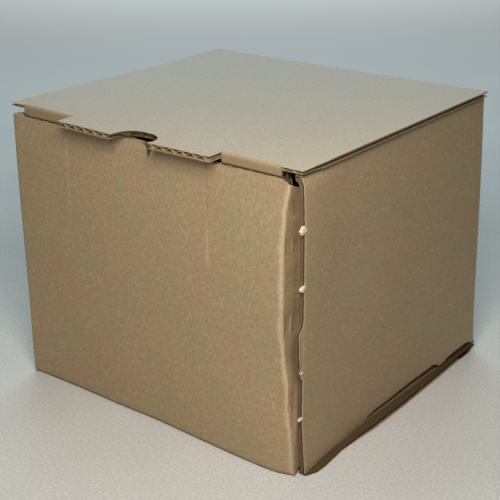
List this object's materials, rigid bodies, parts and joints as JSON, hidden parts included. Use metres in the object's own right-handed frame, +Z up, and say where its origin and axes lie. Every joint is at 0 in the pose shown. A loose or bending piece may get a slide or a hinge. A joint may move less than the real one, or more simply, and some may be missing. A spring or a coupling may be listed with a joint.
{
  "type": "folding box",
  "caption": "Square folding mailer box of corrugated board with doubled side walls, a hinged tuck-in lid with a thumb-notched lip, and a front tongue that the lip closes over.",
  "frame": {"origin": "middle of the bottom panel's underside, on the surface the box stands on", "axes": "+X to the box's right as seen from the front, front wall facing -Y, +Z up"},
  "size_m": [0.1898, 0.184, 0.1565],
  "materials": {
    "kraft_board": "uncoated brown kraft liner with open flutes at the cut edges",
    "kraft_inside": "uncoated brown kraft liner, inner side, slightly lighter"
  },
  "bodies": {
    "shell": {"bottom": "kraft_board", "front_wall": "kraft_board", "back_wall": "kraft_board", "left_outer_wall": "kraft_board", "right_outer_wall": "kraft_board", "left_spine": "kraft_board", "right_spine": "kraft_board", "left_inner_wall": "kraft_inside", "front_left_flap": "kraft_inside", "back_left_flap": "kraft_inside", "right_inner_wall": "kraft_inside", "front_right_flap": "kraft_inside", "back_right_flap": "kraft_inside"},
    "lid": {"lid": "kraft_board"},
    "tuck_flap": {"tuck_flap": "kraft_board"},
    "front_tongue": {"front_tongue": "kraft_board"}
  },
  "joints": [
    {"name": "lid_crease", "type": "hinge", "parent": "shell", "child": "lid", "pos_m": [0, 0.087, 0.1565], "axis": [-1, 0, 0], "range_deg": [0, 235]},
    {"name": "tuck_crease", "type": "hinge", "parent": "lid", "child": "tuck_flap", "pos_m": [0, -0.0802, 0.1532], "axis": [1, 0, 0], "range_deg": [0, 70]},
    {"name": "tongue_crease", "type": "hinge", "parent": "shell", "child": "front_tongue", "pos_m": [0, -0.087, 0.098], "axis": [1, 0, 0], "range_deg": [0, 35]}
  ]
}
